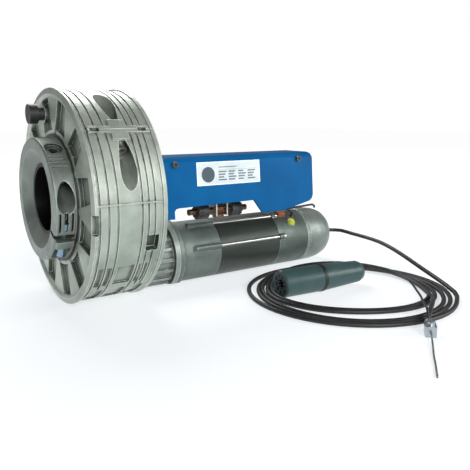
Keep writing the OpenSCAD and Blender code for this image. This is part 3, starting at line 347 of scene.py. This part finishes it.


# In each cast finish the stain colour serves the real stains and specks and also the painted shade in recesses, the
# edge colour lightens the edges as wear and partly as a painted highlight, and the bore colour is painted shade
# inside the hub's bore
castSetups = {
    "crown_aluminium": {"light": (0.56, 0.61, 0.54), "dark": (0.24, 0.285, 0.24), "stainAndShade": (0.045, 0.058, 0.046),
                        "edge": (0.86, 0.90, 0.84), "rough": (0.26, 0.46), "grain": 0.00012, "stainShare": 0.5},
    "case_aluminium": {"light": (0.20, 0.24, 0.22), "dark": (0.058, 0.076, 0.068), "stainAndShade": (0.024, 0.030, 0.022),
                       "edge": (0.60, 0.64, 0.60), "rough": (0.32, 0.55), "grain": 0.00022, "stainShare": 0.5},
    "cap_aluminium": {"light": (0.36, 0.41, 0.38), "dark": (0.17, 0.20, 0.185), "stainAndShade": (0.045, 0.055, 0.045),
                      "edge": (0.75, 0.80, 0.76), "rough": (0.28, 0.48), "grain": 0.00014, "stainShare": 0.45},
    "hub_aluminium": {"light": (0.31, 0.355, 0.32), "dark": (0.115, 0.14, 0.122), "stainAndShade": (0.022, 0.026, 0.022),
                      "edge": (0.50, 0.54, 0.50), "rough": (0.30, 0.52), "grain": 0.00016, "stainShare": 0.5,
                      "boreRadius": 0.0335, "boreShadeColour": (0.006, 0.007, 0.006)},
}


def castFinish(name, light, dark, stainAndShade, edge, rough, grain, stainShare, boreRadius=None, boreShadeColour=None):
    made = Finish(name, {"Metallic": 0.6})
    colour = made.ramp(made.noise(9, 4, 0.6), [(0.32, dark), (0.62, light)])
    blotch = made.mask(made.noise(26, 5, 0.65, distortion=0.6), 0.44, 0.66)
    colour = made.mix(blotch * 0.35, colour, dark)
    stained = made.mask(made.noise(5, 6, 0.7, stretch=(1, 1, 0.5)), 0.52, 0.75)
    colour = made.mix(stained * stainShare, colour, stainAndShade)
    speck = made.mask(made.noise(900, 2), 0.60, 0.72)
    colour = made.mix(speck * 0.25, colour, stainAndShade)
    # Painted shade: where the ambient occlusion finds a place enclosed (grooves, recesses, the hub's inside), the
    # colour is darkened towards the stain colour, broken up by noise as grime; these places are also made rougher
    shadeAndGrime = made.mask(made.cavity(0.014) + made.noise(45, 4) * 0.25, 0.18, 0.55)
    colour = made.mix(shadeAndGrime * 0.88, colour, stainAndShade)
    rounded = made.rounded(0.0009)
    # Edges are lightened towards the edge colour where noise allows: partly rubbed wear, partly a painted highlight
    # along the edges
    wearAndHighlight = made.edges(rounded) * made.mask(made.noise(70, 5, 0.65), 0.28, 0.52)
    colour = made.mix(wearAndHighlight * 0.9, colour, edge)
    # Painted shade: inside the bore radius the hub is painted almost black, where the tube bore lies in shade
    if boreRadius:
        y, z = made.axes("yz")
        boreShade = made.mask(made.root(y * y + z * z), boreRadius + 0.001, boreRadius)
        colour = made.mix(boreShade, colour, boreShadeColour)
    made.feed("Base Color", colour)
    smooth, coarse = rough
    made.feed("Roughness", smooth + made.noise(60, 4) * (coarse - smooth) + stained * 0.12 + shadeAndGrime * 0.15)
    sand = made.node("ShaderNodeTexVoronoi", {"feature": "F1"}, {"Vector": made.place, "Scale": 1300.0})
    made.bump(made.noise(700, 4) * 0.6 + sand * 0.5 + made.noise(40, 3) * 1.6, 0.9, grain, rounded)
    return made.material


steelSetups = {
    "black_steel": {"light": (0.075, 0.078, 0.075), "dark": (0.03, 0.032, 0.03), "rough": 0.34, "metal": 0.6},
    "bright_steel": {"light": (0.62, 0.63, 0.61), "dark": (0.30, 0.31, 0.29), "rough": 0.24},
    "zinc_steel": {"light": (0.55, 0.60, 0.63), "dark": (0.32, 0.37, 0.40), "rough": 0.24},
    "zinc_blue": {"light": (0.36, 0.50, 0.60), "dark": (0.16, 0.25, 0.33), "rough": 0.24},
    "brass": {"light": (0.70, 0.50, 0.20), "dark": (0.45, 0.30, 0.10), "rough": 0.26},
    "spindle_bronze": {"light": (0.26, 0.15, 0.09), "dark": (0.09, 0.045, 0.03), "rough": 0.34, "scratch": 0.0001},
    "gear_steel": {"light": (0.34, 0.34, 0.34), "dark": (0.16, 0.16, 0.15), "rough": 0.30},
    "capacitor_can": {"light": (0.75, 0.76, 0.77), "dark": (0.55, 0.56, 0.57), "rough": 0.28},
    "earth_brass": {"light": (0.80, 0.82, 0.14), "dark": (0.45, 0.50, 0.06), "rough": 0.34, "metal": 0.45},
    "wire_steel": {"light": (0.34, 0.33, 0.32), "dark": (0.12, 0.12, 0.12), "rough": 0.34},
}


def steelFinish(name, light, dark, rough, scratch=0.00003, metal=1.0):
    made = Finish(name, {"Metallic": metal})
    streak = made.noise(90, 4, 0.6, stretch=(1, 12, 12))
    smudge = made.mask(made.noise(30, 4), 0.45, 0.7)
    made.feed("Base Color", made.mix(smudge * 0.5, made.ramp(streak, [(0.3, dark), (0.65, light)]), dark))
    made.feed("Roughness", rough + streak * 0.14 + smudge * 0.12)
    made.bump(streak, 0.5, scratch)
    return made.material


laminationSetup = {"dark": (0.016, 0.022, 0.019), "light": (0.060, 0.074, 0.066), "oil": (0.022, 0.030, 0.014),
                   "rust": (0.10, 0.065, 0.03), "edge": (0.16, 0.18, 0.165), "sheets": 420.0}


def laminationFinish(name, setup):
    made = Finish(name, {"Metallic": 0.55})
    sheets = made.node("ShaderNodeTexWave", {"wave_type": "BANDS", "bands_direction": "X", "wave_profile": "SIN"},
                       {"Vector": made.place, "Scale": setup["sheets"], "Distortion": 0.4, "Detail": 1.0,
                        "Detail Scale": 30.0})
    colour = made.ramp(made.noise(16, 4, stretch=(0.3, 1, 1)), [(0.3, setup["dark"]), (0.7, setup["light"])])
    oil = made.mask(made.noise(7, 5, 0.6, stretch=(0.35, 1, 1)), 0.40, 0.68)
    colour = made.mix(oil * 0.6, colour, setup["oil"])
    rust = made.mask(made.noise(55, 5, 0.7), 0.60, 0.72)
    colour = made.mix(rust * 0.35, colour, setup["rust"])
    made.feed("Base Color", made.mix(sheets * 0.12, colour, setup["edge"]))
    made.feed("Roughness", 0.30 + made.noise(40, 3) * 0.22 - oil * 0.1)
    made.bump(sheets + made.noise(150, 3) * 0.8, 0.55, 0.00012)
    return made.material


# The scuff colour serves the worn patches and also lightens the edges, partly as a painted highlight
mouldedSetups = {
    "nylon": {"light": (0.030, 0.031, 0.030), "dark": (0.012, 0.012, 0.012), "rough": 0.40, "grain": 0.00006,
              "scuffAndHighlight": (0.10, 0.10, 0.095)},
    "magnet_paint": {"light": (0.10, 0.10, 0.11), "dark": (0.05, 0.05, 0.055), "rough": 0.38, "grain": 0.00008},
    "friction_lining": {"light": (0.16, 0.09, 0.05), "dark": (0.07, 0.045, 0.03), "rough": 0.7, "grain": 0.0002,
                        "size": 400},
    "blue_plastic": {"light": (0.001, 0.092, 0.255), "dark": (0.0008, 0.066, 0.195), "rough": 0.36,
                     "grain": 0.00003, "size": 350, "gloss": 0.03, "scuffAndHighlight": (0.006, 0.12, 0.31), "soft": 0.0012,
                     "specular": 0.06},
    "rust_plastic": {"light": (0.36, 0.105, 0.03), "dark": (0.20, 0.05, 0.018), "rough": 0.5, "grain": 0.0002,
                     "size": 300},
    "handle_green": {"light": (0.044, 0.088, 0.088), "dark": (0.022, 0.050, 0.051), "rough": 0.34,
                     "grain": 0.00010, "size": 260, "gloss": 0.05, "scuffAndHighlight": (0.12, 0.19, 0.18), "specular": 0.3},
}


def mouldedFinish(name, light, dark, rough, grain, size=900, gloss=0.0, scuffAndHighlight=None, soft=0.0005, specular=0.5):
    made = Finish(name, {"Coat Weight": gloss, "Coat Roughness": 0.18, "Specular IOR Level": specular})
    rounded = made.rounded(soft)
    colour = made.ramp(made.noise(22, 4), [(0.3, dark), (0.7, light)])
    if scuffAndHighlight:
        wearAndHighlight = made.mask(made.noise(130, 6, 0.75, stretch=(1, 0.35, 1)), 0.63, 0.74)
        colour = made.mix(wearAndHighlight * 0.5, colour, scuffAndHighlight)
        # Edges are lightened towards the scuff colour: partly wear, partly a painted highlight along the edges
        colour = made.mix(made.edges(rounded) * 0.35, colour, scuffAndHighlight)
    # Painted shade: where the ambient occlusion finds a place enclosed, the colour is darkened towards a deeper tone
    # of the dark colour
    shadeAndGrime = made.mask(made.cavity(0.008), 0.30, 0.90)
    colour = made.mix(shadeAndGrime * 0.45, colour, tuple(0.3 * v for v in dark))
    made.feed("Base Color", colour)
    made.feed("Roughness", rough + made.noise(60, 4) * 0.14)
    made.bump(made.noise(size, 3) + made.noise(25, 2) * 2.0, 0.6, grain, rounded)
    return made.material


# Rows, bars and the spot are placed by shares of the plate's length and height
plateSetup = {
    "paper": ((0.46, 0.53, 0.55), (0.60, 0.66, 0.67)),
    "ink": (0.06, 0.09, 0.11),
    "title": {"left": 0.33, "right": 0.62, "low": 0.74, "high": 0.78},
    "rule": {"left": 0.32, "right": 0.95, "low": 0.635, "high": 0.65},
    "ruleInk": (0.08, 0.12, 0.16),
    "bars": {"rows": 4, "top": 0.56, "drop": 0.115, "half": 0.032,
             "columns": 4, "left": 0.33, "pitch": 0.155, "length": 0.125, "shorter": 0.02},
    "spot": {"across": 0.17, "up": 0.46, "radius": 0.33, "stretch": 11},
    "spotInk": (0.02, 0.04, 0.055),
    "inner": {"left": 0.012, "right": 0.988, "low": 0.04, "high": 0.96},
    "border": (0.80, 0.83, 0.84),
    "scuffAndHighlight": (0.70, 0.74, 0.75),
}


def plateFinish(name, setup):
    made = Finish(name, {"Specular IOR Level": 0.2})
    lowest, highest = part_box("rating_plate")
    x, z = made.axes("xz")
    across = (x - lowest.x) / (highest.x - lowest.x)
    up = (z - lowest.z) / (highest.z - lowest.z)

    def oblong(left, right, low, high):
        return (up > low) * (up < high) * ((across > left) * (across < right))

    lines = oblong(**setup["title"])
    bars = setup["bars"]
    for row in range(bars["rows"]):
        middle = bars["top"] - bars["drop"] * row
        for column in range(bars["columns"]):
            left = bars["left"] + bars["pitch"] * column
            length = bars["length"] - bars["shorter"] * ((row + column) % 3)
            lines = lines + oblong(left, left + length, middle - bars["half"], middle + bars["half"])
    rule = oblong(**setup["rule"])
    spot = setup["spot"]
    aside, above = across - spot["across"], up - spot["up"]
    disc = made.root(aside * aside * spot["stretch"] + above * above) < spot["radius"]
    border = 1 - oblong(**setup["inner"])
    paperDark, paperLight = setup["paper"]
    colour = made.ramp(made.noise(60, 4), [(0.3, paperDark), (0.7, paperLight)])
    colour = made.mix(lines * 0.85, colour, setup["ink"])
    colour = made.mix(rule * 0.6, colour, setup["ruleInk"])
    colour = made.mix(disc * 0.92, colour, setup["spotInk"])
    colour = made.mix(border * 0.7, colour, setup["border"])
    wearAndHighlight = made.mask(made.noise(210, 6, 0.75), 0.56, 0.70)
    made.feed("Base Color", made.mix(wearAndHighlight * 0.12, colour, setup["scuffAndHighlight"]))
    made.feed("Roughness", 0.30 + made.noise(90, 3) * 0.2)
    made.bump(made.noise(120, 3), 0.4, 0.00005)
    return made.material


cordSetup = {"light": (0.020, 0.019, 0.018), "dark": (0.006, 0.006, 0.0065), "rough": 0.40}


def cordFinish(name, setup):
    made = Finish(name, {})
    made.feed("Base Color", made.ramp(made.noise(60, 4), [(0.35, setup["dark"]), (0.75, setup["light"])]))
    made.feed("Roughness", setup["rough"] + made.noise(200, 3) * 0.18)
    made.bump(made.noise(500, 3) + made.noise(90, 2) * 1.5, 0.7, 0.00006)
    return made.material


# The gap colour is painted shade between the spokes
socketSetup = {"spokes": 9, "gapShade": (0.006, 0.008, 0.008), "rib": (0.075, 0.095, 0.095)}


def socketFinish(name, setup):
    made = Finish(name, {})
    centred = made.node("ShaderNodeMapping", {"vector_type": "TEXTURE"},
                        {"Vector": made.place, "Location": handleStart, "Rotation": (0, 0, handleTurn)})
    y, z = made.axes("yz", centred)
    turn = made.node("ShaderNodeMath", {"operation": "ARCTAN2"}, [z, y])
    spoke = made.node("ShaderNodeMath", {"operation": "SINE"}, [turn * setup["spokes"]])
    ribs = made.mask(spoke, 0.1, 0.7)
    # Painted shade: between the spokes the socket is painted almost black, the spokes a lighter grey
    made.feed("Base Color", made.mix(ribs, setup["gapShade"], setup["rib"]))
    made.feed("Roughness", 0.35 + made.noise(300, 3) * 0.3)
    made.bump(ribs + made.noise(500, 2) * 0.2, 0.9, 0.0012)
    return made.material


copperSetup = {"dark": (0.16, 0.05, 0.02), "light": (0.52, 0.20, 0.08), "strands": 300.0}


def copperFinish(name, setup):
    made = Finish(name, {"Metallic": 0.7})
    strand = made.node("ShaderNodeTexWave", {"wave_type": "RINGS", "rings_direction": "X"},
                       {"Vector": made.place, "Scale": setup["strands"], "Distortion": 3.0, "Detail": 2.0,
                        "Detail Scale": 6.0})
    made.feed("Base Color", made.ramp(strand, [(0.2, setup["dark"]), (0.8, setup["light"])]))
    made.feed("Roughness", 0.25 + made.noise(80, 3) * 0.2)
    made.bump(strand, 0.8, 0.0003)
    return made.material


finishes = {
    "stator": laminationFinish("stator", laminationSetup),
    "plate_print": plateFinish("plate_print", plateSetup),
    "cable_black": cordFinish("cable_black", cordSetup),
    "socket": socketFinish("socket", socketSetup),
    "winding_copper": copperFinish("winding_copper", copperSetup),
}
for makeFinish, setups in ((castFinish, castSetups), (steelFinish, steelSetups), (mouldedFinish, mouldedSetups)):
    for name, setup in setups.items():
        finishes[name] = makeFinish(name, **setup)
print("finishes made:", len(finishes))

# The other pieces take the finish of their material slot
ownFinish = {"stator_stack": "stator", "gear_case": "hub_aluminium", "hub_cap": "hub_aluminium",
             "clamp_bolt": "zinc_blue", "end_cap": "cap_aluminium", "gearbox_neck": "cap_aluminium",
             "handle_socket": "socket"}


def dress(piece, finish):
    piece.data.materials.clear()
    piece.data.materials.append(finishes[finish])


for part in frame["record"]["subparts"]:
    dress(nodes[part["node"]], ownFinish.get(part["node"], part["material_slot"]))
dress(releaseCable, "cable_black")
dress(handleWire, "cable_black")
dress(wireTail, "wire_steel")
print("finishes on")

skySetup = {"top": 0.10, "low": 0.36, "topAt": 0.8, "lowAt": -0.1, "backdrop": 1.0}


def addSky(setup):
    # the camera sees a plain white backdrop, and the pieces a soft sky that fades upwards
    world = bpy.data.worlds.new("studio")
    world.use_nodes = True
    tree = world.node_tree
    sky = tree.nodes["Background"]
    backdrop = tree.nodes.new("ShaderNodeBackground")
    backdrop.inputs["Strength"].default_value = setup["backdrop"]
    sky.inputs["Color"].default_value = backdrop.inputs["Color"].default_value = (1, 1, 1, 1)
    where = tree.nodes.new("ShaderNodeTexCoord")
    split = tree.nodes.new("ShaderNodeSeparateXYZ")
    fade = tree.nodes.new("ShaderNodeMapRange")
    for key, value in (("From Min", setup["lowAt"]), ("From Max", setup["topAt"]),
                       ("To Min", setup["low"]), ("To Max", setup["top"])):
        fade.inputs[key].default_value = value
    path = tree.nodes.new("ShaderNodeLightPath")
    both = tree.nodes.new("ShaderNodeMixShader")
    out = next(n for n in tree.nodes if n.type == "OUTPUT_WORLD")
    for source, target in ((where.outputs["Generated"], split.inputs["Vector"]),
                           (split.outputs["Z"], fade.inputs["Value"]),
                           (fade.outputs["Result"], sky.inputs["Strength"]),
                           (path.outputs["Is Camera Ray"], both.inputs["Fac"]),
                           (sky.outputs[0], both.inputs[1]), (backdrop.outputs[0], both.inputs[2]),
                           (both.outputs[0], out.inputs["Surface"])):
        tree.links.new(source, target)
    bpy.context.scene.world = world


floorSetup = {"size": 14, "centre": (0.2, 2), "dark": (0.40, 0.41, 0.42), "light": (0.41, 0.42, 0.43),
              "nearGlow": (0.62, 0.64, 0.655), "farGlow": (0.92, 0.92, 0.92), "glowFrom": 0.35, "glowTo": 1.6}


def addFloor(setup):
    clearSelection()
    bpy.ops.mesh.primitive_plane_add(size=setup["size"], location=(*setup["centre"], floorHeight))
    floor = bpy.context.object
    floor.name = "studioFloor"
    paint = Finish("studioFloor", {"Roughness": 0.9, "Specular IOR Level": 0, "Emission Strength": 1})
    paint.feed("Base Color", paint.ramp(paint.noise(2, 2), [(0.3, setup["dark"]), (0.7, setup["light"])]))
    x, y = paint.axes("xy")
    forward = y + setup["centre"][1]
    away = paint.root(x * x + forward * forward)
    glow = paint.mask(away, setup["glowFrom"], setup["glowTo"])
    paint.feed("Emission Color", paint.mix(glow, setup["nearGlow"], setup["farGlow"]))
    floor.data.materials.append(paint.material)


lightSetups = [
    {"place": (-0.2, -1.5, 0.55), "target": (0.12, -0.05, 0), "size": 0.5, "power": 18},
    {"place": (1.2, -1.0, 0.4), "target": (0.2, -0.05, 0), "size": 0.5, "power": 10},
    {"place": (0.3, 1.1, 1.2), "target": (0.2, 0, 0), "size": 0.9, "power": 20},
]


def addLight(setup):
    clearSelection()
    bpy.ops.object.light_add(type="AREA", location=setup["place"])
    light = bpy.context.object
    light.data.size, light.data.energy = setup["size"], setup["power"]
    direction = Vector(setup["target"]) - Vector(setup["place"])
    light.rotation_euler = direction.to_track_quat("-Z", "Y").to_euler()


addSky(skySetup)
addFloor(floorSetup)
for setup in lightSetups:
    addLight(setup)
bpy.context.scene.view_settings.view_transform = "Standard"
print("studio ready")
